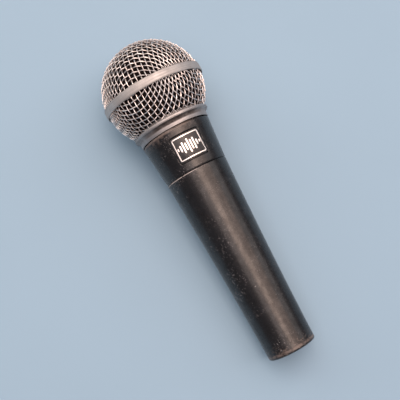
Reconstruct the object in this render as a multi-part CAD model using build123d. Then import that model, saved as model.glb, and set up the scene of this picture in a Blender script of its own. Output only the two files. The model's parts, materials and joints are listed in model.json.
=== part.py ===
from build123d import *
import os
from math import atan2, cos, radians, sin, sqrt

# Handheld dynamic vocal microphone, lying on its side on a level surface.
# Every piece is drawn upright in millimetres: the microphone's axis is Z, its tail is at 0 and the top
# of its ball is at `length`. lay_down() then tips the whole assembly onto the two circles that it
# rests on, the edge of the tail and the lower edge of the ball's band, with the ball towards +X.

# ---- driving dimensions ----
length = 160.0
ball_r = 25.0                        # outside of the band, the widest place
wire_d = 0.55                        # grille wire; a plain weave is two wires thick
fit_gap = 0.05                       # radial clearance of every turned or threaded fit
seat_gap = 0.02                      # clearance of a glued or clamped piece in its seat
lap = 0.2                            # how far two halves of one piece run into each other

# handle, a casting with a gently flared outline
tail_r, tail_chamfer = 11.6, 0.6
waist_z, waist_r, flare_zones = 46.0, 12.88, 8
seam_z, seam_r, seam_chamfer = 92.2, 15.05, 0.3
joint_r, joint_depth = 12.95, 8.2    # socket that the head collar screws into
cavity_top_r, cavity_low_r, cavity_low_z, cavity_step = 11.6, 9.9, 34.0, 2.0

# three-pin socket in the tail
mouth_r, mouth_depth, mouth_chamfer = 8.45, 4.4, 0.4
socket_r, socket_depth = 8.2, 15.0
insert_r, insert_len = 8.6, 12.0
pin_r, pin_tip_z, pin_tail_z = 1.2, 4.8, 30.0
pin_root_r = 1.5                     # thicker where the insert holds it
pin_places = [(-3.8, 1.25), (3.8, 1.25), (0.0, -4.0)]
cup_r, cup_depth = 0.85, 2.2
notch_z, notch_len, notch_width, notch_in, notch_r = 8.0, 3.0, 4.0, 7.5, 9.0
screw_z, screw_r, screw_in, screw_out = 21.0, 1.25, 7.4, 11.6
drive_r, drive_depth = 0.75, 1.6
dimple_r, dimple_gap = 1.4, 0.2
tab_width, tab_depth, tab_t, tab_x, tab_y = 5.6, 2.8, 0.4, -1.2, 0.2
tab_wall_x, tab_wall_width, tab_wall_height = -7.9, 2.2, 3.0

# head collar, with the thread that the grille screws onto
shoulder_z, shoulder_r, shoulder_fillet = 113.05, 16.9, 0.9
thread_r, thread_top_z, thread_chamfer = 15.2, 118.4, 0.4
collar_bore_r, neck_r, ledge_z = 13.3, 11.6, 104.6
neck_gap, neck_chamfer = 0.2, 0.5    # at the neck's lower end, inside the handle
collar_step = 0.03                   # how far the collar stands out past the handle at the seam

# badge: a plate sunk in the collar, with a plain border and a row of strokes standing on it
badge_z, badge_angle = 102.7, 93.4
badge_width, badge_height, badge_corner = 14.2, 11.8, 0.7
badge_sink, badge_proud, badge_rim, badge_plate_t = 0.6, 0.12, 0.3, 0.4
border_inset, border_width, stroke_width, stroke_pitch, stroke_corner = 0.6, 0.5, 0.75, 1.35, 0.3
stroke_heights = [1.4, 3.0, 5.2, 3.6, 6.6, 4.6, 5.6, 2.6, 1.4]

# grille: silver collar, band and two woven bowls
grille_base_z, grille_rim_r, rim_chamfer, rim_top_z = 113.3, 17.3, 0.2, 114.4
cove_mid_r, cove_mid_z = 17.6, 115.85
lip_r, lip_z, lip_height, lip_chamfer = 18.8, 117.35, 0.8, 0.25
seat_z, grille_top_z, seat_in_r, guide_r = 118.2, 119.3, 16.6, 16.4
band_low_z, band_high_z, band_wall, band_edge = 133.0, 137.0, 0.5, 0.25
dome_r, bowl_r, bowl_z = 24.45, 24.2, 134.3
lower_mesh_top, upper_mesh_foot = 0.4, 0.8       # above the bowl's centre
foam_r, foam_t, foam_low_z, foam_mouth_r = 22.7, 3.2, 119.8, 15.0
seal_r, seal_thick, seal_z = 15.98, 0.94, 113.87
seal_seat_r, seal_roof_z = 16.75, 114.55

# cartridge: capsule on a rear chamber, held in a rubber isolator
frame_r, frame_wall, frame_low_z, frame_high_z, flange_t = 14.2, 1.3, 119.8, 130.0, 1.5
port_count, port_r = 10, 0.7
chamber_r, chamber_wall, chamber_low_z, chamber_high_z = 9.2, 1.0, 96.0, 121.5
yoke_r, yoke_wall, yoke_low_z, yoke_high_z = 11.2, 1.3, 121.6, 128.4
magnet_r, magnet_low_z, magnet_high_z = 6.4, 122.95, 126.4
pole_r, gap_r, plate_low_z = 6.6, 7.8, 127.0
coil_in_r, coil_out_r, coil_low_z, coil_high_z = 6.98, 7.38, 125.4, 130.3
diaphragm_r, film_t, dome_rise, roll_rise = 12.5, 0.16, 1.7, 0.6
dome_bend_r, dome_bend_rise = 0.55, 0.74         # a point on the dome, as shares of its radius and rise
cap_low_z, cap_high_z, cap_t, cap_hole_r = 130.05, 134.3, 0.9, 1.25
cap_rings = [(12, 9.6, 0), (6, 5.2, 30), (1, 0, 0)]    # holes, radius, starting angle
cloth_t, front_cloth_r, rear_cloth_r, rear_cloth_in_r = 0.35, 13.2, 13.6, 9.6
isolator_low_z, isolator_high_z, isolator_hub, isolator_web = 104.65, 110.5, 1.1, 1.6
board_r, board_t = 7.5, 1.05
slot_width, slot_depth = 1.7, 0.6
terminal_x, terminal_low_z, tag_width, tag_depth = 2.6, 92.6, 1.6, 0.5

# matching transformer, in a foam sleeve half way down the handle
core_z, core_width, core_depth, core_height = 51.5, 13.0, 6.5, 16.0
leg, window_height = 3.2, 10.6
former_wall, former_gap, former_end_gap = 0.5, 0.05, 0.1
cheek_side, cheek_front, cheek_t = 1.6, 2.7, 0.6      # the bobbin's end plates, past the core's leg
winding_in, winding_side, winding_front, winding_end_gap = 0.55, 1.4, 2.4, 0.8
sleeve_in_r, sleeve_out_r, sleeve_low_z, sleeve_high_z = 7.45, 9.75, 40.0, 62.0

# leads, with points on the way from a tag to the transformer: sideways from the tag, forwards, height
lead_r, lead_gap = 0.42, 0.1
capsule_lead_way = [(0.0, 0.0, 86.0), (2.2, 2.5, 79.0), (0.6, -1.5, 69.0), (1.0, 0.0, 63.5)]
capsule_lead_bends = [2.5, 4.0, 4.0, 1.5]
output_x_share, output_y_share = 0.6, 0.5    # where an output lead starts, as shares of its pin's place
output_drops, output_bend, cup_reach = (4.5, 9.0), 2.0, 1.5


# ---- small helpers ----
def disc(r, low, high, x=0.0, y=0.0):
    """Round plug on a vertical axis, between two heights."""
    return Pos(x, y, low) * Cylinder(r, high - low, align=(Align.CENTER, Align.CENTER, Align.MIN))


def tube(outer, inner, low, high):
    """Plain ring between two heights."""
    return disc(outer, low, high) - disc(inner, low - 1, high + 1)


def block(width, depth, low, high, x=0.0, y=0.0):
    """Rectangular block standing between two heights."""
    return Pos(x, y, low) * Box(width, depth, high - low, align=(Align.CENTER, Align.CENTER, Align.MIN))


def turned(*runs):
    """Solid of revolution about the axis. Each run is a curve in (radius, height); they close a loop."""
    edges = [edge for run in runs for edge in run.edges()]
    return revolve(Plane.XZ * make_face(edges), Axis.Z)


def turned_outline(*points):
    """Solid of revolution of a straight-sided outline of (radius, height) points."""
    return turned(Polyline(*points, close=True))


def around(count, radius, make, start=0.0):
    """Copies of a hole or stud, evenly spaced about the axis."""
    angles = [radians(start + 360 / count * i) for i in range(count)]
    return [make(radius * cos(a), radius * sin(a)) for a in angles]


def wire(points, radii):
    """Round lead through the points, with a bend of each radius at the inner ones."""
    path = FilletPolyline(*points, radius=radii)
    start = Plane(origin=path @ 0, z_dir=path % 0)
    return sweep(start * Circle(lead_r), path)


# ---- handle and its socket ----
def handle():
    flare = ThreePointArc((tail_r, tail_chamfer), (waist_r, waist_z), (seam_r, seam_z - seam_chamfer))
    zones = [flare.trim(i / flare_zones, (i + 1) / flare_zones) for i in range(flare_zones)]
    rest = Polyline(
        (seam_r, seam_z - seam_chamfer),
        (seam_r - seam_chamfer, seam_z),
        (joint_r, seam_z),
        (joint_r, seam_z - joint_depth),
        (cavity_top_r, seam_z - joint_depth),
        (cavity_low_r, cavity_low_z),
        (insert_r, cavity_low_z - cavity_step),
        (insert_r, socket_depth),
        (socket_r, socket_depth),
        (socket_r, mouth_depth),
        (mouth_r, mouth_depth),
        (mouth_r, mouth_chamfer),
        (mouth_r + mouth_chamfer, 0),
        (tail_r - tail_chamfer, 0),
        (tail_r, tail_chamfer),
    )
    low, high = notch_z - notch_len / 2, notch_z + notch_len / 2
    latch_notch = block(notch_width, notch_in, low, high, 0, notch_in) & disc(notch_r, low, high)
    return turned(*zones, rest) - latch_notch - side_plug(screw_r + fit_gap, insert_r / 2, 2 * tail_r)


def side_plug(r, near, far):
    """Round plug on the set screw's line, between two distances from the axis."""
    return Pos(0, -(near + far) / 2, screw_z) * Rot(90, 0, 0) * Cylinder(r, far - near)


def socket_insert():
    body = disc(insert_r - seat_gap, socket_depth + seat_gap, socket_depth + insert_len)
    for x, y in pin_places:
        body -= disc(pin_root_r + seat_gap, 0, pin_tail_z, x, y)
    return body - side_plug(dimple_r, screw_in - dimple_gap, 2 * tail_r)


def contact_pin(place):
    """Round-nosed contact with a solder cup behind the insert."""
    x, y = place
    shaft = disc(pin_r, pin_tip_z + pin_r, socket_depth) + disc(pin_root_r, socket_depth, pin_tail_z)
    nose = Pos(0, 0, pin_tip_z + pin_r) * Sphere(pin_r)
    cup = disc(cup_r, pin_tail_z - cup_depth, pin_tail_z + 1)
    return Pos(x, y, 0) * (shaft + nose - cup)


def ground_tab():
    """Leaf that joins the first contact to the handle's wall."""
    x, y = pin_places[0]
    low = socket_depth + insert_len + seat_gap
    leaf = block(tab_width, tab_depth, low, low + tab_t, x + tab_x, y + tab_y)
    leaf &= disc(insert_r - lap / 2, 0, length)
    turn_up = block(tab_t, tab_wall_width, low, low + tab_wall_height, tab_wall_x, y + tab_y)
    return leaf + turn_up - disc(pin_root_r + seat_gap, 0, pin_tail_z + 1, x, y)


def insert_set_screw():
    """Headless screw that clamps the insert, with a hexagonal drive socket."""
    long = screw_out - screw_in
    drive = Pos(0, 0, long / 2) * extrude(RegularPolygon(drive_r, 6), -drive_depth)
    body = Cylinder(screw_r, long) - drive
    return Pos(0, -(screw_in + long / 2), screw_z) * Rot(90, 0, 0) * body


# ---- head collar and badge ----
def collar_skin(inset):
    """Solid under the collar's sloping outside, sunk by an inset."""
    low, high = seam_z + seam_chamfer, shoulder_z - shoulder_fillet
    return turned_outline(
        (0, low), (seam_r + collar_step - inset, low), (shoulder_r - inset, high), (0, high)
    )


def badge_block(width, height, corner, x=0.0, z=0.0):
    """Radial prism at the badge, offset sideways and upwards on its face."""
    out = (cos(radians(badge_angle)), sin(radians(badge_angle)), 0)
    side = (-out[1], out[0], 0)
    plane = Plane(origin=(0, 0, badge_z), x_dir=side, z_dir=out)
    return plane * Pos(x, z, 0) * extrude(RectangleRounded(width, height, corner), 2 * ball_r)


def head_collar():
    corner = (shoulder_r - shoulder_fillet, shoulder_z)
    neck_low_z = seam_z - joint_depth + neck_gap
    outline = Polyline(
        corner,
        (thread_r, shoulder_z),
        (thread_r, thread_top_z - thread_chamfer),
        (thread_r - thread_chamfer, thread_top_z),
        (collar_bore_r + thread_chamfer, thread_top_z),
        (collar_bore_r, thread_top_z - thread_chamfer),
        (collar_bore_r, ledge_z),
        (neck_r, ledge_z),
        (neck_r, neck_low_z),
        (joint_r - fit_gap - neck_chamfer, neck_low_z),
        (joint_r - fit_gap, neck_low_z + neck_chamfer),
        (joint_r - fit_gap, seam_z + seat_gap),
        (seam_r - seam_chamfer, seam_z + seat_gap),
        (seam_r + collar_step, seam_z + seam_chamfer),
        (shoulder_r, shoulder_z - shoulder_fillet),
    )
    bend = shoulder_fillet * (1 - sqrt(0.5))
    rounded = ThreePointArc(
        (shoulder_r, shoulder_z - shoulder_fillet), (shoulder_r - bend, shoulder_z - bend), corner
    )
    recess = badge_block(badge_width + 2 * badge_rim, badge_height + 2 * badge_rim, badge_corner + badge_rim)
    return turned(outline, rounded) - (recess - collar_skin(badge_sink))


def badge_plate():
    plate = badge_block(badge_width, badge_height, badge_corner)
    top, bottom = badge_sink - badge_plate_t - seat_gap, badge_sink - seat_gap
    return plate & (collar_skin(top) - collar_skin(bottom))


def badge_marks():
    """Plain border with a row of upright strokes inside it, each a raised piece."""
    width, height = badge_width - 2 * border_inset, badge_height - 2 * border_inset
    hole = badge_block(width - 2 * border_width, height - 2 * border_width, stroke_corner)
    marks = [badge_block(width, height, badge_corner) - hole]
    middle = (len(stroke_heights) - 1) / 2
    for i, stroke_height in enumerate(stroke_heights):
        marks.append(badge_block(stroke_width, stroke_height, stroke_corner, (i - middle) * stroke_pitch))
    plate_top = badge_sink - badge_plate_t - 2 * seat_gap
    skin = collar_skin(plate_top - badge_proud) - collar_skin(plate_top)
    return Compound(children=[solid for mark in marks for solid in (mark & skin).solids()])


# ---- grille ----
def grille_collar():
    """Silver ring with a threaded bore, a rim, a cove and the lip that the lower mesh sits in."""
    lip_low, lip_high = lip_z - lip_height / 2, lip_z + lip_height / 2
    lip_under = (lip_r - lip_chamfer, lip_low - lip_chamfer)
    cove = ThreePointArc(lip_under, (cove_mid_r, cove_mid_z), (grille_rim_r, rim_top_z))
    rest = Polyline(
        (grille_rim_r, rim_top_z),
        (grille_rim_r, grille_base_z + rim_chamfer),
        (grille_rim_r - rim_chamfer, grille_base_z),
        (seal_seat_r, grille_base_z),
        (seal_seat_r, seal_roof_z),
        (thread_r + fit_gap, seal_roof_z),
        (thread_r + fit_gap, grille_top_z),
        (guide_r, grille_top_z),
        (seat_in_r, seat_z),
        (lip_r - lip_chamfer, seat_z),
        (lip_r, lip_high),
        (lip_r, lip_low),
        lip_under,
    )
    return turned(cove, rest)


def grille_band():
    inner = ball_r - band_wall
    return turned_outline(
        (inner, band_low_z),
        (ball_r - band_edge, band_low_z),
        (ball_r, band_low_z + band_edge),
        (ball_r, band_high_z - band_edge),
        (ball_r - band_edge, band_high_z),
        (inner, band_high_z),
    )


def woven_shell(centre_z, outer, low_z, high_z):
    """Zone of a sphere, as thick as the weave."""
    shell = Sphere(outer) - Sphere(outer - 2 * wire_d)
    return Pos(0, 0, centre_z) * shell & disc(2 * outer, low_z, high_z)


def grille_lower_mesh():
    return woven_shell(bowl_z, bowl_r, seat_z + fit_gap, bowl_z + lower_mesh_top)


def grille_upper_mesh():
    centre = length - dome_r
    return woven_shell(centre, dome_r, bowl_z + upper_mesh_foot, length)


def ball_core(r):
    """Two spheres on the meshes' centres, joined by a short cylinder."""
    top = length - dome_r
    return Pos(0, 0, bowl_z) * Sphere(r) + disc(r, bowl_z, top) + Pos(0, 0, top) * Sphere(r)


def foam_liner():
    """Foam cup that lines both meshes, open below for the cartridge."""
    cup = ball_core(foam_r) & disc(2 * foam_r, foam_low_z, length)
    return cup - ball_core(foam_r - foam_t) - disc(foam_mouth_r, 0, bowl_z)


def grille_seal():
    return Pos(0, 0, seal_z) * Torus(seal_r, seal_thick / 2)


# ---- cartridge ----
def cartridge_isolator():
    """Rubber ring: an inner and an outer hub joined by a thin web."""
    inner, outer = chamber_r + fit_gap, collar_bore_r - fit_gap
    middle = (isolator_low_z + isolator_high_z) / 2
    return (
        tube(inner + isolator_hub, inner, isolator_low_z, isolator_high_z)
        + tube(outer, outer - isolator_hub, isolator_low_z, isolator_high_z)
        + tube(outer - lap, inner + lap, middle - isolator_web / 2, middle + isolator_web / 2)
    )


def rear_chamber():
    can = tube(chamber_r, chamber_r - chamber_wall, chamber_low_z, chamber_high_z)
    return can + disc(chamber_r - lap, chamber_low_z, chamber_low_z + chamber_wall)


def terminal_board():
    top = chamber_low_z - fit_gap
    board = disc(board_r, top - board_t, top)
    for x in (-terminal_x, terminal_x):
        board -= block(slot_width, slot_depth, top - 2 * board_t, top, x)
    return board


def cartridge_terminals():
    """Two flat tags through the board."""
    high = chamber_low_z - 2 * fit_gap
    return Compound(children=[block(tag_width, tag_depth, terminal_low_z, high, side * terminal_x)
                              for side in (-1, 1)])


def capsule_frame():
    """Cup that carries the magnet system, with ports in its flange."""
    wall = tube(frame_r, frame_r - frame_wall, frame_low_z, frame_high_z)
    flange = tube(frame_r - lap, chamber_r + fit_gap, frame_low_z, frame_low_z + flange_t)

    def port(x, y):
        return disc(port_r, frame_low_z - flange_t, frame_low_z + 2 * flange_t, x, y)

    return wall + flange - around(port_count, (yoke_r + frame_r - frame_wall) / 2, port)


def rear_cloth():
    """Felt ring behind the flange's ports."""
    return tube(rear_cloth_r, rear_cloth_in_r, frame_low_z - cloth_t - seat_gap, frame_low_z - seat_gap)


def magnet_cup():
    wall = tube(yoke_r, yoke_r - yoke_wall, yoke_low_z, yoke_high_z)
    return wall + disc(yoke_r - lap, yoke_low_z, yoke_low_z + yoke_wall)


def magnet():
    return disc(magnet_r, magnet_low_z, magnet_high_z)


def pole_piece():
    return disc(pole_r, magnet_high_z + seat_gap, yoke_high_z)


def top_plate():
    return tube(yoke_r - yoke_wall - seat_gap, gap_r, plate_low_z, yoke_high_z)


def voice_coil():
    return tube(coil_out_r, coil_in_r, coil_low_z, coil_high_z)


def diaphragm():
    """Thin film: a dome over the coil, and a raised roll between the coil and the rim."""
    base = coil_high_z + seat_gap
    middle = (coil_out_r + diaphragm_r) / 2

    def crown_at(z):
        bend = (coil_in_r * dome_bend_r, z + dome_rise * dome_bend_rise)
        return ThreePointArc((0, z + dome_rise), bend, (coil_out_r, z))

    def roll_at(z):
        return ThreePointArc((coil_out_r, z), (middle, z + roll_rise), (diaphragm_r, z))

    crown, crown_in = crown_at(base), crown_at(base + film_t)
    roll, roll_in = roll_at(base), roll_at(base + film_t)
    centre = Line(crown @ 0, crown_in @ 0)
    rim = Line(roll @ 1, roll_in @ 1)
    return turned(crown, roll, rim, roll_in, crown_in, centre)


def front_cap():
    """Resonator cap over the diaphragm, with sound holes in two rings."""
    wall = tube(frame_r, frame_r - frame_wall, cap_low_z, cap_high_z)
    plate = disc(frame_r - lap, cap_high_z - cap_t, cap_high_z)

    def hole(x, y):
        return disc(cap_hole_r, cap_high_z - 2 * cap_t, cap_high_z + cap_t, x, y)

    holes = [one for count, radius, start in cap_rings for one in around(count, radius, hole, start)]
    return wall + plate - holes


def front_cloth():
    return disc(front_cloth_r, cap_high_z + seat_gap, cap_high_z + seat_gap + cloth_t)


# ---- transformer and leads ----
def transformer_core():
    """Stack of laminations with two windows beside the middle leg."""
    low, high = core_z - core_height / 2, core_z + core_height / 2
    core = block(core_width, core_depth, low, high)
    window = (core_width - 3 * leg) / 2
    for side in (-1, 1):
        core -= block(window, core_depth + 1, core_z - window_height / 2, core_z + window_height / 2,
                      side * (leg + window) / 2)
    return core


def round_leg(over, low, high):
    """Block round the core's middle leg, wider and deeper than it by an overhang on every side."""
    return block(leg + 2 * over, core_depth + 2 * over, low, high)


def transformer_bobbin():
    """Former with two end plates, a sliding fit on the middle leg."""
    low, high = core_z - window_height / 2 + former_end_gap, core_z + window_height / 2 - former_end_gap
    former = round_leg(former_wall, low, high)
    for plate_low in (low, high - cheek_t):
        former += block(leg + 2 * cheek_side, core_depth + 2 * cheek_front, plate_low, plate_low + cheek_t)
    return former - round_leg(former_gap, low - cheek_t, high + cheek_t)


def transformer_winding():
    reach = window_height / 2 - winding_end_gap
    low, high = core_z - reach, core_z + reach
    coil = block(leg + 2 * winding_side, core_depth + 2 * winding_front, low, high)
    return coil - round_leg(winding_in, low - cheek_t, high + cheek_t)


def transformer_sleeve():
    """Foam tube that wedges the transformer in the handle."""
    return tube(sleeve_out_r, sleeve_in_r, sleeve_low_z, sleeve_high_z)


def capsule_lead(side):
    """Lead from a cartridge tag down to the transformer, with slack for the isolator."""
    foot = core_z + core_height / 2 + lead_gap
    way = [(0.0, 0.0, terminal_low_z - lead_gap), *capsule_lead_way, (*capsule_lead_way[-1][:2], foot)]
    return wire([(side * (terminal_x + x), y, z) for x, y, z in way], capsule_lead_bends)


def output_lead(place):
    """Lead from the transformer's foot into a contact's solder cup."""
    x, y = place
    top = core_z - core_height / 2 - lead_gap
    start = (x * output_x_share, y * output_y_share)
    points = [(*start, top), (*start, top - output_drops[0]), (x, y, top - output_drops[1]),
              (x, y, pin_tail_z - cup_reach)]
    return wire(points, [output_bend, output_bend])


# ---- assembly ----
pieces = {
    "handle": handle(),
    "head_collar": head_collar(),
    "badge_plate": badge_plate(),
    "badge_marks": badge_marks(),
    "socket_insert": socket_insert(),
    "ground_tab": ground_tab(),
    "insert_set_screw": insert_set_screw(),
    "cartridge_isolator": cartridge_isolator(),
    "transformer_core": transformer_core(),
    "transformer_bobbin": transformer_bobbin(),
    "transformer_winding": transformer_winding(),
    "transformer_sleeve": transformer_sleeve(),
    "capsule_lead_hot": capsule_lead(1),
    "capsule_lead_cold": capsule_lead(-1),
    "rear_chamber": rear_chamber(),
    "terminal_board": terminal_board(),
    "cartridge_terminals": cartridge_terminals(),
    "capsule_frame": capsule_frame(),
    "rear_cloth": rear_cloth(),
    "magnet_cup": magnet_cup(),
    "magnet": magnet(),
    "pole_piece": pole_piece(),
    "top_plate": top_plate(),
    "voice_coil": voice_coil(),
    "diaphragm": diaphragm(),
    "front_cap": front_cap(),
    "front_cloth": front_cloth(),
    "grille_seal": grille_seal(),
    "foam_liner": foam_liner(),
    "grille_collar": grille_collar(),
    "grille_band": grille_band(),
    "grille_lower_mesh": grille_lower_mesh(),
    "grille_upper_mesh": grille_upper_mesh(),
}
for number, place in enumerate(pin_places, start=1):
    pieces[f"contact_pin_{number}"] = contact_pin(place)
    pieces[f"output_lead_{number}"] = output_lead(place)


def lay_down():
    """Placement that rests the microphone on its tail edge and band edge, centred on the origin."""
    band_z = band_low_z + band_edge
    tilt = atan2(ball_r - tail_r, band_z - tail_chamfer)
    back_x = -(tail_r - tail_chamfer) * sin(tilt)
    front_x = (length - dome_r) * cos(tilt) + dome_r
    axis_height = tail_r * cos(tilt) - tail_chamfer * sin(tilt)
    side, up = (0, 1, 0), (-sin(tilt), 0, cos(tilt))
    along = (cos(tilt), 0, sin(tilt))
    plane = Plane(origin=(-(back_x + front_x) / 2, 0, axis_height), x_dir=side, z_dir=along)
    assert (plane.y_dir - Vector(*up)).length < 1e-9
    return plane.location


os.makedirs("parts", exist_ok=True)
placement = lay_down()
for name, piece in pieces.items():
    export_step(placement * piece, f"parts/{name}.step")
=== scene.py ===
"""Handheld dynamic microphone: the looks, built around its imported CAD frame.

Pieces are drawn in millimetres in the microphone's own axes (x sideways, y up, z from the tail to
the ball) and placed on the frame by one matrix. Outlines are (radius, height) points.
"""
import json
import math

import bmesh
import bpy
import numpy as np
from mathutils import Matrix, Vector, noise


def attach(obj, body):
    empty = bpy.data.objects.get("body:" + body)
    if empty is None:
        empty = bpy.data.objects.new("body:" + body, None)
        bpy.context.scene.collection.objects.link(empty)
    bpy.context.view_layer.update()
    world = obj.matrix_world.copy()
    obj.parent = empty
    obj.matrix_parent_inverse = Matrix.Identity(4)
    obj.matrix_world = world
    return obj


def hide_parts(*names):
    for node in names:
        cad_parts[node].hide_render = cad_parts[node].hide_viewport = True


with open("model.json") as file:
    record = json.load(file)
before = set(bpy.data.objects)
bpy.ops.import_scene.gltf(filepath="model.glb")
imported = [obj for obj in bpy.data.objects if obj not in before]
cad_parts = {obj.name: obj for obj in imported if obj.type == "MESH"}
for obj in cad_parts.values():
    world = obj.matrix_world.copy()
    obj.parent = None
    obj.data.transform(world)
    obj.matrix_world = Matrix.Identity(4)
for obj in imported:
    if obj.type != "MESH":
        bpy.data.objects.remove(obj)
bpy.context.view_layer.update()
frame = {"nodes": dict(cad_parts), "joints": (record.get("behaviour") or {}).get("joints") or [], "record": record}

MM = 0.001
TURN = 2 * math.pi

# ---- the microphone's axes, from the frame ----
joints = {j["name"]: j for j in frame["joints"]}
mounts = {m["name"]: m for m in frame["record"]["mounts"]}
MOUTH_MID = 2.4                      # height of the plug_mouth mount above the tail
along = Vector(joints["grille_unscrew"]["axis"]).normalized()
side = Vector((0, 1, 0))
up = along.cross(side)
tail = Vector(mounts["plug_mouth"]["pos_m"]) - along * MOUTH_MID * MM
mic = Matrix.Translation(tail) @ Matrix((side, up, along)).transposed().to_4x4()


def extent(node):
    """Largest and smallest radius, lowest and highest point of a CAD node, in the mic's axes."""
    mesh = frame["nodes"][node].data
    co = np.empty(len(mesh.vertices) * 3)
    mesh.vertices.foreach_get("co", co)
    back = np.array(mic.inverted())
    local = (co.reshape(-1, 3) @ back[:3, :3].T + back[:3, 3]) / MM
    radius = np.hypot(local[:, 0], local[:, 1])
    return radius.max(), radius.min(), local[:, 2].min(), local[:, 2].max()


# ---- sizes, in millimetres ----
BALL_R, BAND_IN_R, BAND_LOW, BAND_HIGH = extent("grille_band")
SEAM_R, _, TAIL_Z, SEAM_Z = extent("handle")
LIP_R, BORE_R, COLLAR_LOW, COLLAR_HIGH = extent("grille_collar")
SHOULDER_R, _, NECK_LOW, THREAD_TOP = extent("head_collar")
DOME_LOW, DOME_TOP = extent("grille_upper_mesh")[2:]
SEAT_Z, BOWL_HIGH = extent("grille_lower_mesh")[2:]
TAIL_R, WAIST_Z, WAIST_R = 11.6, 46.0, 12.88
SHOULDER_Z, SHOULDER_BEND = 113.05, 0.9
THREAD_R, THREAD_PITCH, THREAD_DEPTH = 15.2, 0.75, 0.33
RIM_R, RIM_TOP, SEAL_SEAT_R, SEAL_ROOF = 17.3, 114.4, 16.75, 114.55
COVE_R, COVE_Z = 17.2, 116.3         # where the cove's two ends would meet
DOME_R, BOWL_R, BOWL_Z = 24.45, 24.2, 134.3
DOME_Z = DOME_TOP - DOME_R
WIRE_D, WIRE_PITCH = 0.5, 2.4
DOME_TURN, BOWL_TURN = 68.4, 59.4    # azimuths in degrees where each weave is square to the band
NET_CELLS, WIRE_SIDES, WIRE_GAP = 19, 7, 0.005       # each way from the pole; corners; clearance
FOAM_R, FOAM_T, FOAM_LOW, FOAM_MOUTH_R = 22.7, 3.2, 119.8, 15.0
BADGE_Z, BADGE_ANGLE, BADGE_W, BADGE_H = 102.7, 93.4, 14.8, 12.4
BADGE_SINK, BADGE_CORNER = 0.6, 1.0
CREASE_ANGLE, BEVEL_ANGLE = 38, 40   # degrees: sharper edges stay sharp, or are rounded over
BADGE_BEVEL, PLAIN_BEVEL = 0.05, 0.1

# ---- colours, linear red, green and blue ----
ENAMEL_DEEP, ENAMEL_PALE = (0.0022, 0.0022, 0.003), (0.0045, 0.0042, 0.0042)
# The second colour is brown wear, also used as a painted highlight on the collar's shoulder.
FRECKLE_BROWN, WEAR_AND_HIGHLIGHT_BROWN = (0.010, 0.0068, 0.006), (0.11, 0.088, 0.078)
# The first colour is bright edge wear at the handle's seam, also used as a painted highlight on the collar's
# shoulder.
EDGE_WEAR_AND_HIGHLIGHT, SCRATCH_GREY = (0.40, 0.37, 0.36), (0.30, 0.295, 0.305)
# The second colour is painted shade for the grille collar's cove.
CHIP_GREY, SHADE_BROWN = (0.34, 0.335, 0.34), (0.035, 0.024, 0.02)
WIRE_BRIGHT, WIRE_DULL = (0.92, 0.885, 0.865), (0.66, 0.62, 0.60)
# Painted shade for the wires in the valleys of the weave.
WIRE_SHADE = (0.22, 0.18, 0.165)
WIRE_VALLEY, WIRE_CROWN = 0.75, 0.2  # millimetres under the weave's outside
FLOOR_COLOUR, WORLD_COLOUR = (0.249, 0.382, 0.500), (0.26, 0.25, 0.275)


# ---- mesh helpers ----
def soft_outline(*corners):
    """Outline through (radius, height, bend) corners, each bend a curve between two points."""
    beside = 1.25                    # the two points' distance from the corner, in bends
    points = []
    for k, (r, z, bend) in enumerate(corners):
        here = np.array((r, z))
        if not bend:
            points.append(here)
            continue
        arms = []
        for other in (corners[k - 1], corners[(k + 1) % len(corners)]):
            arm = np.array(other[:2]) - here
            arms.append(arm / np.linalg.norm(arm))
        points.append(here + arms[0] * bend * beside)
        for t in np.linspace(0, 1, 5):
            points.append(here + arms[0] * bend * (1 - t) ** 2 + arms[1] * bend * t**2)
        points.append(here + arms[1] * bend * beside)
    return points


def rows(start, end, step):
    """Points from start to end, both included, no further apart than step."""
    start, end = np.array(start), np.array(end)
    count = max(1, math.ceil(np.linalg.norm(end - start) / step))
    return [start + (end - start) * i / count for i in range(count + 1)]


def sphere_rows(centre_z, r, low, high, step=1.0):
    """Points up the outline of a sphere between two heights."""
    a, b = (math.asin(max(-1, min(1, (z - centre_z) / r))) for z in (low, high))
    count = max(2, math.ceil(abs(b - a) * r / step))
    turn = np.linspace(a, b, count + 1)
    return [np.array((r * math.cos(t), centre_z + r * math.sin(t))) for t in turn]


FLARE = np.polyfit([TAIL_Z, WAIST_Z, SEAM_Z], [TAIL_R, WAIST_R, SEAM_R], 2)


def flare(z):
    """Radius of the handle's outside, a parabola through the tail, the waist and the seam."""
    return np.polyval(FLARE, z)


def lathe(outline, angles, shift=None):
    """Vertices and faces of a turned ring, from a count of angles or a list of them.

    shift(angle, radius, height) moves its points outwards.
    """
    turn = np.arange(angles) * TURN / angles if isinstance(angles, int) else np.asarray(angles)
    outline = np.array(outline, float)
    count, around = len(outline), len(turn)
    r = np.repeat(outline[:, :1], around, 1)
    z = np.repeat(outline[:, 1:], around, 1)
    a = np.repeat(turn[None, :], count, 0)
    if shift:
        r = r + shift(a, r, z)
    verts = np.stack([r * np.cos(a), r * np.sin(a), z], -1).reshape(-1, 3)
    i, j = np.meshgrid(np.arange(count), np.arange(around), indexing="ij")
    i2, j2 = (i + 1) % count, (j + 1) % around
    faces = np.stack([i * around + j, i * around + j2, i2 * around + j2, i2 * around + j], -1)
    return verts, faces.reshape(-1, 4).tolist()


def make_mesh(name, verts, faces):
    """Clean mesh in metres from vertices in millimetres."""
    mesh = bpy.data.meshes.new(name)
    mesh.from_pydata((np.asarray(verts) * MM).tolist(), [], faces)
    shape = bmesh.new()
    shape.from_mesh(mesh)
    bmesh.ops.remove_doubles(shape, verts=shape.verts, dist=1e-7)
    bmesh.ops.dissolve_degenerate(shape, edges=shape.edges, dist=1e-8)
    bmesh.ops.recalc_face_normals(shape, faces=shape.faces)
    shape.to_mesh(mesh)
    shape.free()
    return mesh


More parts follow.
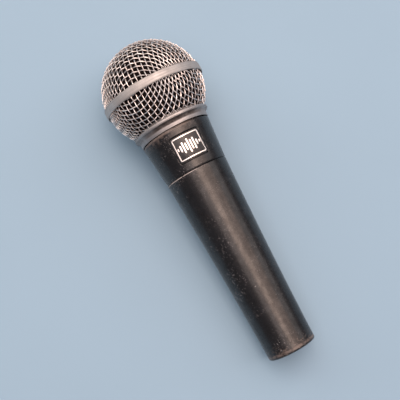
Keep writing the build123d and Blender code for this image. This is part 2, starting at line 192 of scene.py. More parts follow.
def smooth(mesh):
    mesh.polygons.foreach_set("use_smooth", [True] * len(mesh.polygons))
    mesh.set_sharp_from_angle(angle=math.radians(CREASE_ANGLE))


def add_object(name, data):
    obj = bpy.data.objects.new(name, data)
    bpy.context.collection.objects.link(obj)
    return obj


def add_piece(name, mesh, material, body, nodes, place=mic):
    """Finished piece, its mesh put in place: it rides a body and stands for CAD nodes."""
    smooth(mesh)
    mesh.transform(place)
    mesh.materials.clear()           # a copied CAD mesh brings its own
    mesh.materials.append(material)
    obj = add_object(name, mesh)
    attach(obj, body)
    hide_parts(*nodes)
    return obj


def applied(obj):
    """The object's mesh with its modifiers applied; the object itself goes."""
    bpy.context.view_layer.update()
    depsgraph = bpy.context.evaluated_depsgraph_get()
    mesh = bpy.data.meshes.new_from_object(obj.evaluated_get(depsgraph))
    bpy.data.objects.remove(obj)
    return mesh


def cut(mesh, *tools):
    """The mesh less each tool mesh."""
    base = add_object("cut_base", mesh)
    cutters = []
    for number, tool in enumerate(tools):
        cutter = add_object(f"cutter_{number}", tool)
        modifier = base.modifiers.new("cut", "BOOLEAN")
        modifier.object, modifier.operation, modifier.solver = cutter, "DIFFERENCE", "EXACT"
        cutters.append(cutter)
    result = applied(base)
    for cutter in cutters:
        bpy.data.objects.remove(cutter)
    return result


def peg(r, low, high, place):
    """Closed cylinder mesh between two heights, then placed in millimetres."""
    shape = bmesh.new()
    middle = Matrix.Translation((0, 0, (low + high) / 2 * MM))
    bmesh.ops.create_cone(shape, cap_ends=True, segments=32, radius1=r * MM, radius2=r * MM,
                          depth=(high - low) * MM, matrix=place @ middle)
    mesh = bpy.data.meshes.new("peg")
    shape.to_mesh(mesh)
    shape.free()
    return mesh


def softened(node, material, body, width):
    """Copy of a CAD node's shape with its sharp edges rounded over."""
    mesh = frame["nodes"][node].data.copy()
    shape = bmesh.new()
    shape.from_mesh(mesh)
    bmesh.ops.remove_doubles(shape, verts=shape.verts, dist=1e-6)
    bmesh.ops.dissolve_limit(shape, angle_limit=math.radians(1), verts=shape.verts,
                             edges=shape.edges)
    shape.to_mesh(mesh)
    shape.free()
    if mesh.attributes.get("custom_normal"):
        mesh.attributes.remove(mesh.attributes["custom_normal"])
    base = add_object("soften", mesh)
    bevel = base.modifiers.new("bevel", "BEVEL")
    bevel.width, bevel.segments, bevel.limit_method = width * MM, 2, "ANGLE"
    bevel.angle_limit = math.radians(BEVEL_ANGLE)
    return add_piece(f"{node}_finish", applied(base), material, body, [node],
                     Matrix.Identity(4))


# ---- materials ----
class Finish:
    """One procedural material: a Principled shader and its nodes, in the microphone's axes."""

    def __init__(self, name, **sockets):
        self.material = bpy.data.materials.new(name)
        self.material.use_nodes = True
        self.tree = self.material.node_tree
        self.shader = self.tree.nodes["Principled BSDF"]
        here = self.tree.nodes.new("ShaderNodeTexCoord").outputs["Object"]
        inputs = {"Vector": here, "Location": tail, "Rotation": mic.to_euler()}
        self.where = self.node("ShaderNodeMapping", inputs, vector_type="TEXTURE").outputs[0]
        for socket, value in sockets.items():
            self.put(socket.replace("_", " "), value)

    def feed(self, target, value):
        """Links another node's output to an input, or sets the input's own value."""
        if isinstance(value, bpy.types.NodeSocket):
            self.tree.links.new(value, target)
        else:
            target.default_value = value

    def put(self, socket, value):
        self.feed(self.shader.inputs[socket], value)

    def node(self, kind, inputs, **settings):
        node = self.tree.nodes.new(kind)
        for key, value in settings.items():
            setattr(node, key, value)
        for key, value in inputs.items():
            self.feed(node.inputs[key], value)
        return node

    def scaled(self, *factors):
        return self.node("ShaderNodeMapping", {"Vector": self.where, "Scale": factors}).outputs[0]

    def noise(self, size, detail, rough=0.55, stretch=(1, 1, 1)):
        """Noise with features of about this size in millimetres."""
        vector = self.scaled(*stretch)
        inputs = {"Vector": vector, "Scale": 1 / (size * MM), "Detail": detail, "Roughness": rough}
        return self.node("ShaderNodeTexNoise", inputs).outputs["Fac"]

    def cells(self, size, jitter=1.0):
        """Distance to points scattered about this many millimetres apart."""
        inputs = {"Vector": self.where, "Scale": 1 / (size * MM), "Randomness": jitter}
        return self.node("ShaderNodeTexVoronoi", inputs).outputs["Distance"]

    def span(self, value, low, high, out_low=0.0, out_high=1.0):
        """Value carried from one range to another, and held at its ends."""
        inputs = {"Value": value, "From Min": low, "From Max": high,
                  "To Min": out_low, "To Max": out_high}
        return self.node("ShaderNodeMapRange", inputs).outputs["Result"]

    def maths(self, operation, a, b):
        return self.node("ShaderNodeMath", {0: a, 1: b}, operation=operation).outputs[0]

    def mix(self, share, a, b):
        """Colour a at a share of 0, and colour b at 1."""
        a, b = (c if isinstance(c, bpy.types.NodeSocket) else (*c, 1) for c in (a, b))
        return self.node("ShaderNodeMix", {0: share, 6: a, 7: b}, data_type="RGBA").outputs[2]

    def bump(self, height, depth, under=None):
        inputs = {"Height": height, "Distance": depth * MM, "Strength": 1.0}
        if under is not None:
            inputs["Normal"] = under
        normal = self.node("ShaderNodeBump", inputs).outputs[0]
        self.put("Normal", normal)
        return normal

    def leaning_cells(self, size, shape, lean):
        """Distance to scattered points, its contours long where shape is large."""
        inputs = {"Vector": self.where, "Scale": shape, "Rotation": lean}
        vector = self.node("ShaderNodeMapping", inputs, vector_type="TEXTURE").outputs[0]
        inputs = {"Vector": vector, "Scale": 1 / (size * MM)}
        return self.node("ShaderNodeTexVoronoi", inputs).outputs["Distance"]

    def mm(self, index):
        """One coordinate in millimetres, in the microphone's axes."""
        split = self.node("ShaderNodeSeparateXYZ", {"Vector": self.where})
        return self.maths("DIVIDE", split.outputs[index], MM)


def near(f, height, low, high, fade):
    """1 between two heights, falling to 0 over a fade on either side."""
    rise = f.span(height, low - fade, low)
    fall = f.span(height, high, high + fade, 1.0, 0.0)
    return f.maths("MULTIPLY", rise, fall)


SCRATCHES = (                        # size, shape, lean, distance where it starts and is full
    (2.6, (0.30, 0.30, 2.6), (0.35, 0.2, 0.1), 0.20, 0.10),
    (3.1, (0.26, 0.26, 2.2), (-0.9, 0.5, 0.4), 0.17, 0.09),
    (3.4, (0.24, 0.24, 3.0), (1.3, -0.6, 0.9), 0.16, 0.09),
    (1.1, (0.8, 0.8, 1.0), (0.0, 0.0, 0.0), 0.15, 0.08),
)


def enamel(name, wear_and_highlight_bands, bright_line):
    """Black baked enamel: orange peel, mottled gloss, scratches, and edges brown or bright with wear, which on the
    collar's shoulder is partly a painted highlight.

    A band of wear is (low, high, fade, grain, first, full, begins): two heights and the fade beyond
    them, the noise's size and the values where wear starts and is full, and the x where it begins.
    The bright line is two heights. Wear is heavier on the side that x points to.
    """
    f = Finish(name)
    height, aside = f.mm(2), f.span(f.mm(0), -4, 5)
    colour = f.mix(f.span(f.noise(9, 4), 0.35, 0.75), ENAMEL_DEEP, ENAMEL_PALE)
    freckles = f.span(f.noise(1.3, 5, 0.7), 0.56, 0.68)
    colour = f.mix(f.maths("MULTIPLY", freckles, 0.7), colour, FRECKLE_BROWN)
    wear_and_highlight = None
    for low, high, fade, grain, first, full, begins in wear_and_highlight_bands:
        patches = f.span(f.noise(grain, 5, 0.7), first, full)
        band = f.maths("MULTIPLY", near(f, height, low, high, fade), patches)
        band = f.maths("MULTIPLY", band, f.span(f.mm(0), begins - 3, begins + 3))
        wear_and_highlight = band if wear_and_highlight is None else f.maths("MAXIMUM", wear_and_highlight, band)
    # Brown wear, which on the collar's shoulder also stands as a painted highlight.
    colour = f.mix(wear_and_highlight, colour, WEAR_AND_HIGHLIGHT_BROWN)
    # A thin bright line: edge wear at the handle's seam, and a painted highlight on the collar's shoulder.
    low, high = bright_line
    breaks = f.span(f.noise(2.4, 4), 0.33, 0.45)
    line = f.maths("MULTIPLY", near(f, height, low, high, 0.12), breaks)
    line = f.maths("MULTIPLY", line, aside)
    colour = f.mix(line, colour, EDGE_WEAR_AND_HIGHLIGHT)
    crowd = f.span(f.noise(12, 3), 0.47, 0.62)
    crowd = f.maths("MULTIPLY", crowd, f.span(aside, 0, 1, 0.35, 1.0))
    marks = None
    for size, shape, lean, first, full in SCRATCHES:
        dash = f.span(f.leaning_cells(size, shape, lean), first, full)
        marks = dash if marks is None else f.maths("MAXIMUM", marks, dash)
    marks = f.maths("MULTIPLY", marks, crowd)
    colour = f.mix(f.maths("MULTIPLY", marks, 0.65), colour, SCRATCH_GREY)
    chips = f.span(f.leaning_cells(9, (1.6, 1.6, 0.6), (0.3, 0.2, 0.0)), 0.04, 0.025)
    colour = f.mix(f.maths("MULTIPLY", chips, 0.8), colour, CHIP_GREY)
    f.put("Base Color", colour)
    bare = f.maths("MAXIMUM", wear_and_highlight, f.maths("MAXIMUM", line, marks))
    gloss = f.span(f.noise(2.2, 6, 0.7), 0.32, 0.7, 0.21, 0.34)
    f.put("Roughness", f.maths("ADD", gloss, f.maths("MULTIPLY", bare, 0.15)))
    f.put("Specular IOR Level", f.span(f.noise(4.5, 6, 0.75), 0.35, 0.68, 0.66, 0.42))
    peel = f.bump(f.noise(0.55, 2), 0.012)
    f.bump(bare, -0.02, under=peel)
    return f.material


def satin_metal(name, colour, rough, line=0.12, cove_shade=None):
    """Matt plated metal with faint turning lines. The cove's painted shade is two heights and the fade beyond
    them.
    """
    f = Finish(name, Metallic=1.0)
    lines = f.noise(line, 2, stretch=(0.02, 0.02, 1.0))
    cloud = f.noise(5, 4)
    darker = tuple(c * 0.78 for c in colour)
    tone = f.mix(f.span(cloud, 0.35, 0.7), colour, darker)
    tone = f.mix(f.span(lines, 0.4, 0.66, 0.0, 0.55), tone, tuple(c * 0.62 for c in colour))
    gloss = f.span(f.maths("ADD", lines, cloud), 0.7, 1.3, rough - 0.05, rough + 0.1)
    # Painted shade: the cove is darkened and roughened in mottled patches, most on the upper side.
    if cove_shade:
        patches = f.span(f.noise(2.5, 4), 0.25, 0.6, 0.6, 0.88)
        shade_mask = f.maths("MULTIPLY", near(f, f.mm(2), *cove_shade), patches)
        shade_mask = f.maths("MULTIPLY", shade_mask, f.span(f.mm(1), 9.0, 16.0, 0.2, 1.0))
        tone = f.mix(shade_mask, tone, SHADE_BROWN)
        gloss = f.maths("ADD", gloss, f.maths("MULTIPLY", shade_mask, 0.3))
    f.put("Base Color", tone)
    f.put("Roughness", gloss)
    f.bump(lines, 0.006)
    return f.material


def wire_metal(name, centre_z, outer):
    """Plated wire, bright on the crowns of the weave and darkened with painted shade in its valleys."""
    f = Finish(name, Metallic=1.0)
    centre = (0, 0, centre_z * MM)
    reach = f.node("ShaderNodeVectorMath", {0: f.where, 1: centre}, operation="DISTANCE")
    depth = f.maths("DIVIDE", reach.outputs["Value"], MM)
    crown = f.span(depth, outer - WIRE_VALLEY, outer - WIRE_CROWN)
    bright = f.mix(f.span(f.noise(4.5, 4), 0.4, 0.72), WIRE_BRIGHT, WIRE_DULL)
    # Painted shade: darker towards the weave's valleys, brightest on its crowns.
    f.put("Base Color", f.mix(crown, WIRE_SHADE, bright))
    f.put("Roughness", f.span(f.noise(0.7, 3), 0.3, 0.7, 0.34, 0.5))
    f.bump(f.noise(0.12, 2), 0.004)
    return f.material


def foam(name, colour, pore):
    f = Finish(name, Roughness=0.95, Specular_IOR_Level=0.2)
    pores = f.cells(pore)
    lighter = tuple(min(1.0, c * 2.2) for c in colour)
    f.put("Base Color", f.mix(f.span(pores, 0.15, 0.6), tuple(c * 0.4 for c in colour), lighter))
    f.bump(pores, 0.35)
    return f.material


def moulded(name, colour, rough, grain=0.25, depth=0.01):
    """Plastic, rubber or board: fine grain with a slight variation of colour."""
    f = Finish(name)
    lighter = tuple(min(1.0, c * 1.35 + 0.004) for c in colour)
    f.put("Base Color", f.mix(f.span(f.noise(2.5, 4), 0.35, 0.7), colour, lighter))
    f.put("Roughness", f.span(f.noise(1.1, 3), 0.3, 0.7, rough - 0.06, rough + 0.08))
    f.bump(f.noise(grain, 3), depth)
    return f.material


def machined(name, colour, rough):
    """Bright turned or stamped metal, slightly mottled."""
    grain = 0.15
    f = Finish(name, Metallic=1.0)
    darker = tuple(c * 0.75 for c in colour)
    f.put("Base Color", f.mix(f.span(f.noise(2.0, 4), 0.35, 0.7), colour, darker))
    f.put("Roughness", f.span(f.noise(grain * 4, 3), 0.3, 0.7, rough - 0.06, rough + 0.1))
    f.bump(f.noise(grain, 2), 0.004)
    return f.material


def woven_cloth(name, colour):
    f = Finish(name, Roughness=0.9, Sheen_Weight=0.3)
    threads = f.cells(0.22, jitter=0.15)
    f.put("Base Color", f.mix(f.span(threads, 0.1, 0.5), tuple(c * 1.6 for c in colour), colour))
    f.bump(threads, 0.08)
    return f.material


def windings(name, colour, pitch):
    """Fine enamelled wire wound round the axis."""
    f = Finish(name, Roughness=0.32, Metallic=0.85)
    inputs = {"Vector": f.where, "Scale": 1 / (pitch * MM) / TURN, "Distortion": 0.4}
    wave = f.node("ShaderNodeTexWave", inputs, bands_direction="Z")
    darker = tuple(c * 0.5 for c in colour)
    f.put("Base Color", f.mix(wave.outputs["Fac"], darker, colour))
    f.bump(wave.outputs["Fac"], pitch * 0.3)
    return f.material


FINISHES = {
    "badge_black": moulded("badge_black", (0.010, 0.010, 0.011), 0.32, 0.3, 0.006),
    "badge_silver": machined("badge_silver", (0.9, 0.87, 0.83), 0.3),
    "insert_plastic": moulded("insert_plastic", (0.02, 0.02, 0.021), 0.45),
    "contact_metal": machined("contact_metal", (0.82, 0.76, 0.6), 0.22),
    "screw_steel": machined("screw_steel", (0.2, 0.2, 0.21), 0.35),
    "isolator_rubber": moulded("isolator_rubber", (0.02, 0.02, 0.02), 0.72, 0.3, 0.015),
    "core_steel": machined("core_steel", (0.3, 0.29, 0.28), 0.5),
    "bobbin_plastic": moulded("bobbin_plastic", (0.62, 0.58, 0.46), 0.5),
    "winding_copper": windings("winding_copper", (0.72, 0.3, 0.12), 0.16),
    "sleeve_foam": foam("sleeve_foam", (0.09, 0.09, 0.1), 0.7),
    "lead_red": moulded("lead_red", (0.45, 0.03, 0.025), 0.4),
    "lead_black": moulded("lead_black", (0.02, 0.02, 0.02), 0.4),
    "lead_green": moulded("lead_green", (0.03, 0.22, 0.07), 0.4),
    "chamber_plastic": moulded("chamber_plastic", (0.03, 0.03, 0.032), 0.45),
    "board_laminate": moulded("board_laminate", (0.3, 0.17, 0.07), 0.55),
    "capsule_aluminium": satin_metal("capsule_aluminium", (0.7, 0.7, 0.71), 0.3),
    "damping_felt": woven_cloth("damping_felt", (0.05, 0.05, 0.055)),
    "yoke_steel": machined("yoke_steel", (0.5, 0.5, 0.5), 0.3),
    "magnet_alloy": machined("magnet_alloy", (0.3, 0.29, 0.28), 0.45),
    "diaphragm_film": moulded("diaphragm_film", (0.62, 0.62, 0.56), 0.15, 0.6, 0.004),
    "cap_plastic": moulded("cap_plastic", (0.035, 0.035, 0.037), 0.42),
    "seal_rubber": moulded("seal_rubber", (0.012, 0.012, 0.012), 0.5),
    "liner_foam": foam("liner_foam", (0.0022, 0.0009, 0.0007), 0.8),
    # The cove under the lip gets painted shade.
    "grille_silver": satin_metal("grille_silver", (0.45, 0.44, 0.44), 0.55,
                                 cove_shade=(115.15, 116.35, 0.6)),
    "band_silver": satin_metal("band_silver", (0.56, 0.55, 0.54), 0.64, 0.3),
    "mesh_wire": wire_metal("mesh_wire", BOWL_Z, BOWL_R),
}
DOME_WIRE = wire_metal("dome_wire", DOME_Z, DOME_R)
HANDLE_ENAMEL = enamel("handle_enamel", [
    (TAIL_Z + 1.2, TAIL_Z + 3.0, 3.5, 0.8, 0.53, 0.62, -40),
    (TAIL_Z + 1.3, TAIL_Z + 1.9, 0.5, 1.8, 0.38, 0.52, -40),
    (SEAM_Z - 1.6, SEAM_Z + 1, 1.8, 1.0, 0.56, 0.68, -4),
], (SEAM_Z - 0.42, SEAM_Z - 0.18))
# On the collar's shoulder these brown bands and the bright line are partly wear and partly painted highlight along
# the shoulder's curve.
COLLAR_ENAMEL = enamel("collar_enamel", [
    (SHOULDER_Z - 1.6, SHOULDER_Z, 3.0, 1.9, 0.42, 0.7, -9),
    (SHOULDER_Z - 0.9, SHOULDER_Z + 1, 0.6, 2.6, 0.24, 0.5, -6),
], (SHOULDER_Z - 0.25, SHOULDER_Z - 0.05))


# ---- handle ----
def handle():
    outside = [np.array((flare(z), z)) for z in np.linspace(TAIL_Z + 1.0, SEAM_Z - 0.45, 60)]
    joint_r, joint_low = 12.95, SEAM_Z - 8.2             # socket for the head collar
    cavity_r, cavity_low_r, cavity_low = 11.6, 9.9, 34
    insert_r, insert_top, insert_low = 8.6, 32, 15
    plug_r, mouth_r, mouth_top = 8.2, 8.45, 4.4          # the plug's socket and its mouth
    edge = 0.6                                           # the tail's rounded edge
    seam = soft_outline(
        (SEAM_R, SEAM_Z - 0.3, 0.12), (SEAM_R - 0.3, SEAM_Z, 0.12), (joint_r, SEAM_Z, 0.15),
        (joint_r, joint_low, 0), (cavity_r, joint_low, 0), (cavity_low_r, cavity_low, 0),
        (insert_r, insert_top, 0), (insert_r, insert_low, 0), (plug_r, insert_low, 0),
        (plug_r, mouth_top, 0.1), (mouth_r, mouth_top, 0.1), (mouth_r, 0.4, 0.12),
        (8.85, TAIL_Z, 0.12), (TAIL_R - edge, TAIL_Z, 0.2), (flare(edge), edge, 0.2))
    mesh = make_mesh("handle_shell", *lathe(outside + seam, 256))
    screw_r, screw_z = 1.3, 21
    notch_y, notch_z, notch_size = 7.5, 8, (4, 3, 3)     # for the plug's latch
    sideways = Matrix.Rotation(math.radians(90), 4, "X")
    screw_hole = peg(screw_r, 5.0, 16.0, Matrix.Translation((0, 0, screw_z * MM)) @ sideways)
    notch = bpy.data.meshes.new("notch")
    shape = bmesh.new()
    bmesh.ops.create_cube(shape, size=1, matrix=Matrix.Translation((0, notch_y * MM, notch_z * MM))
                          @ Matrix.Diagonal((*(length * MM for length in notch_size), 1)))
    shape.to_mesh(notch)
    shape.free()
    mesh = cut(mesh, screw_hole, notch)
    return add_piece("handle_shell", mesh, HANDLE_ENAMEL, "body", ["handle"])


# ---- head collar ----
def thread_cut(angle, z, low, high):
    """Depth of a helical V thread, from 0 to 1, fading out at both ends."""
    phase = (z / THREAD_PITCH - angle / TURN) % 1
    groove = 1 - np.abs(phase * 2 - 1)
    fade = np.clip((z - low) / THREAD_PITCH, 0, 1) * np.clip((high - z) / THREAD_PITCH, 0, 1)
    return groove * fade


def badge_recess(angle, r, z):
    """Depth of the badge's seat: a rounded rectangle with a soft rim."""
    across = (angle - math.radians(BADGE_ANGLE)) * r
    dx = np.abs(across) - BADGE_W / 2 + BADGE_CORNER
    dz = np.abs(z - BADGE_Z) - BADGE_H / 2 + BADGE_CORNER
    beyond = np.hypot(np.maximum(dx, 0), np.maximum(dz, 0))
    outside = beyond + np.minimum(np.maximum(dx, dz), 0) - BADGE_CORNER
    rim_start, rim_width = 0.28, 0.42
    t = np.clip((rim_start - outside) / rim_width, 0, 1)
    return BADGE_SINK * t * t * (3 - 2 * t)


def head_collar():
    low, high = SEAM_Z + 0.02, THREAD_TOP
    skin_r = SEAM_R + 0.03
    spigot_low, spigot_high = SHOULDER_Z + 0.1, high - 0.45
    bore_r, ledge_z, neck_r = 13.3, 104.6, 11.6          # bore, down to the isolator's ledge
    joint_r, foot_r = 12.9, 14.0
    outline = soft_outline((foot_r, low, 0), (SEAM_R - 0.3, low, 0.12),
                           (skin_r, SEAM_Z + 0.3, 0.12))
    outline += rows((skin_r + 0.05, SEAM_Z + 0.8),
                    (SHOULDER_R - 0.02, SHOULDER_Z - SHOULDER_BEND - 0.3), 0.2)
    corner = np.array((SHOULDER_R - SHOULDER_BEND, SHOULDER_Z - SHOULDER_BEND))
    outline += [corner + SHOULDER_BEND * np.array((math.cos(t), math.sin(t)))
                for t in np.linspace(0, TURN / 4, 9)]
    outline += [np.array((SHOULDER_R - SHOULDER_BEND - 0.2, SHOULDER_Z)),
                np.array((THREAD_R, SHOULDER_Z))]
    outline += rows((THREAD_R, spigot_low), (THREAD_R, spigot_high), THREAD_PITCH / 8)
    outline += soft_outline(
        (THREAD_R - 0.35, high, 0.12), (13.7, high, 0.12), (bore_r, high - 0.4, 0.1),
        (bore_r, ledge_z, 0), (neck_r, ledge_z, 0), (neck_r, NECK_LOW, 0),
        (12.4, NECK_LOW, 0.1), (joint_r, NECK_LOW + 0.5, 0.1), (joint_r, low, 0))

    def shift(angle, r, z):
        thread = THREAD_DEPTH * thread_cut(angle, z, spigot_low, spigot_high)
        on_spigot = (np.abs(r - THREAD_R) < 0.01) & (z >= spigot_low) & (z <= spigot_high)
        on_skin = (r > foot_r + 0.5) & (z < SHOULDER_Z - SHOULDER_BEND)
        return -np.where(on_spigot, thread, 0) - np.where(on_skin, badge_recess(angle, r, z), 0)

    middle, reach = math.radians(BADGE_ANGLE), math.radians(34)
    angles = np.concatenate([                            # close together across the badge
        np.arange(middle - reach, middle + reach, math.radians(0.7)),
        np.linspace(middle + reach, middle - reach + TURN, 150, endpoint=False)])
    mesh = make_mesh("head_collar_shell", *lathe(outline, angles, shift))
    return add_piece("head_collar_shell", mesh, COLLAR_ENAMEL, "body", ["head_collar"])


# ---- grille ----
def grille_collar():
    bore_low, bore_high = SEAL_ROOF + 0.05, COLLAR_HIGH - 0.15
    cove_high, lip_low, lip_high, lip_top = 116.65, 116.9, 117.75, 118.2
    seat_r, guide_r = 16.6, 16.4                         # under and beside the lower mesh
    outline = soft_outline((SEAL_SEAT_R, COLLAR_LOW, 0), (RIM_R, COLLAR_LOW, 0.22))
    rim, bend, under = (np.array(p) for p in (
        (RIM_R, RIM_TOP), (COVE_R, COVE_Z), (LIP_R - 0.25, cove_high)))
    outline += [(1 - t) ** 2 * rim + 2 * t * (1 - t) * bend + t**2 * under
                for t in np.linspace(0, 1, 12)]
    outline += soft_outline((LIP_R, lip_low, 0.2), (LIP_R, lip_high, 0.3),
                            (LIP_R - 0.35, lip_top, 0.12), (seat_r, lip_top, 0),
                            (guide_r, COLLAR_HIGH, 0.1))
    outline.append(np.array((BORE_R, COLLAR_HIGH)))
    outline += rows((BORE_R, bore_high), (BORE_R, bore_low), THREAD_PITCH / 8)
    outline += soft_outline((BORE_R, SEAL_ROOF, 0), (SEAL_SEAT_R, SEAL_ROOF, 0))

    def shift(angle, r, z):
        on_bore = (np.abs(r - BORE_R) < 0.01) & (z >= bore_low) & (z <= bore_high)
        return np.where(on_bore, THREAD_DEPTH * thread_cut(angle, z, bore_low, bore_high), 0)

    mesh = make_mesh("grille_collar_ring", *lathe(outline, 256, shift))
    return add_piece("grille_collar_ring", mesh, FINISHES["grille_silver"], "grille",
                     ["grille_collar"])


def grille_band():
    low, high = BAND_LOW, BAND_HIGH
    crown = [np.array((BALL_R - 0.03 * abs(2 * t - 1) ** 3, low + 0.45 + (high - low - 0.9) * t))
             for t in np.linspace(0, 1, 24)]
    outline = soft_outline((BAND_IN_R, low, 0), (BALL_R - 0.05, low, 0.25)) + crown
    outline += soft_outline((BALL_R - 0.05, high, 0.25), (BAND_IN_R, high, 0))
    mesh = make_mesh("grille_band_ring", *lathe(outline, 256))
    return add_piece("grille_band_ring", mesh, FINISHES["band_silver"], "grille", ["grille_band"])


def fishnet(cells, step):
    """One quarter of a net of equal steps on a unit sphere: square at its pole, sheared beyond."""
    points = np.zeros((cells + 1, cells + 1, 3))
    for i in range(cells + 1):
        points[i, 0] = (math.sin(i * step), 0, math.cos(i * step))
        points[0, i] = (0, math.sin(i * step), math.cos(i * step))
    for i in range(1, cells + 1):
        for j in range(1, cells + 1):
            fold = np.cross(points[i - 1, j], points[i, j - 1])
            fold /= np.linalg.norm(fold)
            last = points[i - 1, j - 1]
            points[i, j] = last - 2 * last.dot(fold) * fold
    return points


def smooth_run(points, parts):
    """Points along a smooth curve through the given ones, with this many parts to a step."""
    before = np.vstack([2 * points[0] - points[1], points[:-1]])
    ahead = np.vstack([points[1:], 2 * points[-1] - points[-2]])
    slopes = (ahead - before) / 2
    run = []
    for k in range(len(points) - 1):
        for s in range(parts):
            t = s / parts
            run.append((2 * t**3 - 3 * t**2 + 1) * points[k] + (t**3 - 2 * t**2 + t) * slopes[k]
                       + (3 * t**2 - 2 * t**3) * points[k + 1] + (t**3 - t**2) * slopes[k + 1])
    run.append(points[-1])
    return np.array(run)


def clipped(path, low, high):
    """Stretches of a path between two heights, each ended exactly at the limit."""
    stretches, current = [], []
    for a, b in zip(path[:-1], path[1:]):
        inside = [low <= p[2] <= high for p in (a, b)]
        if inside[0]:
            current.append(a)
        if inside[0] != inside[1]:
            outer, inner = (b, a) if inside[0] else (a, b)
            limit = low if outer[2] < low else high
            current.append(inner + (outer - inner) * (limit - inner[2]) / (outer[2] - inner[2]))
        if not inside[1] and current:
            stretches.append(np.array(current))
            current = []
    if current:
        stretches.append(np.array(current + [path[-1]]))
    return [s for s in stretches if np.linalg.norm(s[-1] - s[0]) > WIRE_PITCH / 2]


def tube(path, radius, centre, sides):
    """Round wire along a path near a sphere about a centre."""
    ahead = np.gradient(path, axis=0)
    ahead /= np.linalg.norm(ahead, axis=1)[:, None]
    out = path - centre
    across = np.cross(ahead, out)
    across /= np.linalg.norm(across, axis=1)[:, None]
    out = np.cross(across, ahead)
    turn = np.arange(sides) * TURN / sides
    ring = (np.cos(turn)[None, :, None] * out[:, None]
            + np.sin(turn)[None, :, None] * across[:, None])
    verts = (path[:, None] + radius * ring).reshape(-1, 3)
    count = len(path)
    i, j = np.meshgrid(np.arange(count - 1), np.arange(sides), indexing="ij")
    j2 = (j + 1) % sides
    faces = np.stack([i * sides + j, i * sides + j2, (i + 1) * sides + j2, (i + 1) * sides + j], -1)
    faces = faces.reshape(-1, 4).tolist()
    faces += [list(range(sides)), list(range((count - 1) * sides, count * sides))[::-1]]
    return verts, faces


def woven_bowl(name, material, outer, centre_z, pole, turned, low, high, node):
    """Plain-woven wire pressed over a sphere, its pole at the top (1) or the bottom (-1)."""
    amplitude = WIRE_D / 2 + WIRE_GAP
    middle = outer - WIRE_D / 2 - amplitude
    quarter = fishnet(NET_CELLS, WIRE_PITCH / middle)
    index = np.arange(-NET_CELLS, NET_CELLS + 1)
    net = quarter[np.abs(index)[:, None], np.abs(index)[None, :]]
    sides = np.broadcast_arrays(np.sign(index)[:, None], np.sign(index)[None, :], pole)
    net = net * np.stack(sides, -1)
    a = math.radians(turned)
    spin = np.array(((math.cos(a), math.sin(a), 0), (-math.sin(a), math.cos(a), 0), (0, 0, 1)))
    net = net @ spin
    centre = np.array((0, 0, centre_z))
    parts, verts, faces, count = 4, [], [], 0
    for family in (0, 1):
        for k, number in enumerate(index):
            line = smooth_run(net[k] if family == 0 else net[:, k], parts)
            line /= np.linalg.norm(line, axis=1)[:, None]
            station = np.arange(len(line)) / parts - NET_CELLS
            sign = (1 if family == 0 else -1) * (1 if number % 2 == 0 else -1)
            path = centre + line * (middle + sign * amplitude * np.cos(math.pi * station))[:, None]
            for stretch in clipped(path, low, high):
                v, fs = tube(stretch, WIRE_D / 2, centre, WIRE_SIDES)
                verts.append(v)
                faces += [[n + count for n in face] for face in fs]
                count += len(v)
    mesh = make_mesh(name, np.vstack(verts), faces)
    return add_piece(name, mesh, material, "grille", [node])


def foam_liner():
    inner = FOAM_R - FOAM_T
    mouth_high = BOWL_Z - math.sqrt(inner**2 - FOAM_MOUTH_R**2)
    top = DOME_Z + FOAM_R
    outline = sphere_rows(BOWL_Z, FOAM_R, FOAM_LOW, BOWL_Z, 0.5)
    outline += sphere_rows(DOME_Z, FOAM_R, DOME_Z, top - 0.001, 0.5)
    outline += sphere_rows(DOME_Z, inner, DOME_Z + inner - 0.001, DOME_Z)
    outline += sphere_rows(BOWL_Z, inner, BOWL_Z, mouth_high)
    outline += [np.array((FOAM_MOUTH_R, FOAM_LOW))]
    lump_size, lump_depth, lump_most = 0.9, 0.22, 0.1

    def shift(angle, r, z):
        lumps = [noise.noise(Vector((x, y, h)) / lump_size) for x, y, h in
                 zip((r * np.cos(angle)).ravel(), (r * np.sin(angle)).ravel(), z.ravel())]
        lumps = np.array(lumps).reshape(r.shape) * lump_depth
        return np.minimum(lumps, lump_most) * np.clip(r / 3, 0, 1)

    mesh = make_mesh("foam_cup", *lathe(outline, 300, shift))
    return add_piece("foam_cup", mesh, FINISHES["liner_foam"], "liner", ["foam_liner"])


def paint_cad():
    """Gives every CAD node that still shows its own finish."""
    slots = {s["node"]: s["material_slot"] for s in frame["record"]["subparts"]}
    for node, obj in frame["nodes"].items():
        if obj.hide_render:
            continue
        finish = FINISHES[slots[node]]
        for index in range(max(1, len(obj.material_slots))):
            if index < len(obj.material_slots):
                obj.material_slots[index].material = finish
            else:
                obj.data.materials.append(finish)


handle()
head_collar()
grille_collar()
grille_band()
woven_bowl("upper_weave", DOME_WIRE, DOME_R, DOME_Z, 1, DOME_TURN, DOME_LOW, DOME_TOP + 1,
           "grille_upper_mesh")
woven_bowl("lower_weave", FINISHES["mesh_wire"], BOWL_R, BOWL_Z, -1, BOWL_TURN, SEAT_Z, BOWL_HIGH,
           "grille_lower_mesh")
foam_liner()
for node_name, body_name, slot_name in (
    ("badge_plate", "body", "badge_black"),
    ("badge_marks", "body", "badge_silver"),
    ("socket_insert", "body", "insert_plastic"),
    ("capsule_frame", "cartridge", "capsule_aluminium"),
    ("front_cap", "cartridge", "cap_plastic"),
):
    bevel_width = BADGE_BEVEL if "badge" in node_name else PLAIN_BEVEL
    softened(node_name, FINISHES[slot_name], body_name, bevel_width)
paint_cad()


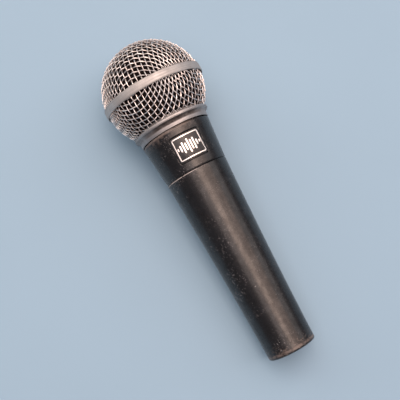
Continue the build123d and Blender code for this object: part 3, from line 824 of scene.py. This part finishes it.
# ---- camera ----
CAMERA_OUT, CAMERA_STATION, CAMERA_SWING = 340.0, 52.2, 6.45      # mm, mm, degrees
AIM_STATION, AIM_ASIDE = 80.05, -4.86                            # mm
CAMERA_LENS = 66.06                                              # mm, on a 36 mm sensor
swing = math.radians(CAMERA_SWING)
outward = up * math.cos(swing) + side * math.sin(swing)
rightward = along.cross(outward)
camera_data = bpy.data.cameras.new("camera")
camera_data.sensor_width, camera_data.lens = 36, CAMERA_LENS
camera_data.clip_start, camera_data.clip_end = 0.01, 20
camera = add_object("camera", camera_data)
camera.location = tail + along * CAMERA_STATION * MM + outward * CAMERA_OUT * MM
aim = tail + along * AIM_STATION * MM + rightward * AIM_ASIDE * MM
camera.rotation_euler = (aim - camera.location).to_track_quat("-Z", "Y").to_euler()
bpy.context.scene.camera = camera


# ---- floor, light and world ----
STRIP_STATION, STRIP_OUT, STRIP_LENGTH = 0.53, 1.6, 1.9          # metres
WINDOW_STATION, WINDOW_OUT, WINDOW_W, WINDOW_H = 0.08, 1.8, 2.4, 1.3
STRIPS = (                           # name, first and last angle, radiance
    ("strip_far_left", -44, -22, (0.19, 0.15, 0.15)),
    ("strip_left", -22, 2, (2.3, 1.88, 1.75)),
    ("strip_key", 2, 22, (6.2, 4.6, 3.85)),
    ("strip_right", 22, 50, (2.75, 2.05, 1.75)),
    ("strip_far_right", 50, 76, (1.35, 1.22, 1.18)),
)


def soft_light(name, middle, facing, across, width, length, radiance):
    """Rectangular area light of one red, green and blue radiance, unseen by the camera."""
    data = bpy.data.lights.new(name, "AREA")
    data.shape, data.size, data.size_y = "RECTANGLE", width, length
    data.energy = math.pi * max(radiance) * width * length
    data.color = [channel / max(radiance) for channel in radiance]
    obj = add_object(name, data)
    obj.matrix_world = Matrix.Translation(middle) @ Matrix(
        (across, facing.cross(across), facing)).transposed().to_4x4()
    obj.visible_camera = False


def overhead(name, first, last, radiance):
    """Long strip parallel to the axis, between two angles about it from the camera's side."""
    a = math.radians((first + last) / 2)
    facing = outward * math.cos(a) + rightward * math.sin(a)
    middle = tail + along * STRIP_STATION + facing * STRIP_OUT
    width = math.radians(last - first) * STRIP_OUT
    soft_light(name, middle, facing, facing.cross(along), width, STRIP_LENGTH, radiance)


def beyond_head(name, tilt, turned, radiance):
    """Broad light beyond the ball, tilted up from square to the axis and turned about it."""
    a, b = math.radians(tilt), math.radians(turned)
    facing = along * math.sin(a) + (outward * math.cos(b) + rightward * math.sin(b)) * math.cos(a)
    across = along.cross(facing).normalized()
    middle = tail + along * WINDOW_STATION + facing * WINDOW_OUT
    soft_light(name, middle, facing, across, WINDOW_W, WINDOW_H, radiance)


def floor():
    f = Finish("floor", Roughness=0.6, Specular_IOR_Level=0.2)
    cloud = f.span(f.noise(60, 2), 0.3, 0.7)
    f.put("Base Color", f.mix(cloud, FLOOR_COLOUR, tuple(c * 0.98 for c in FLOOR_COLOUR)))
    mesh = bpy.data.meshes.new("floor")
    half = 3.0
    corners = [(-half, -half, 0), (half, -half, 0), (half, half, 0), (-half, half, 0)]
    mesh.from_pydata(corners, [], [(0, 1, 2, 3)])
    mesh.materials.append(f.material)
    add_object("floor", mesh)


floor()
for strip in STRIPS:
    overhead(*strip)
beyond_head("window", 56, -35, (1.38, 1.22, 1.06))
world = bpy.data.worlds.new("world")
world.use_nodes = True
world.node_tree.nodes["Background"].inputs["Color"].default_value = (*WORLD_COLOUR, 1)
world.node_tree.nodes["Background"].inputs["Strength"].default_value = 1.0
bpy.context.scene.world = world
bpy.context.scene.view_settings.view_transform = "Standard"
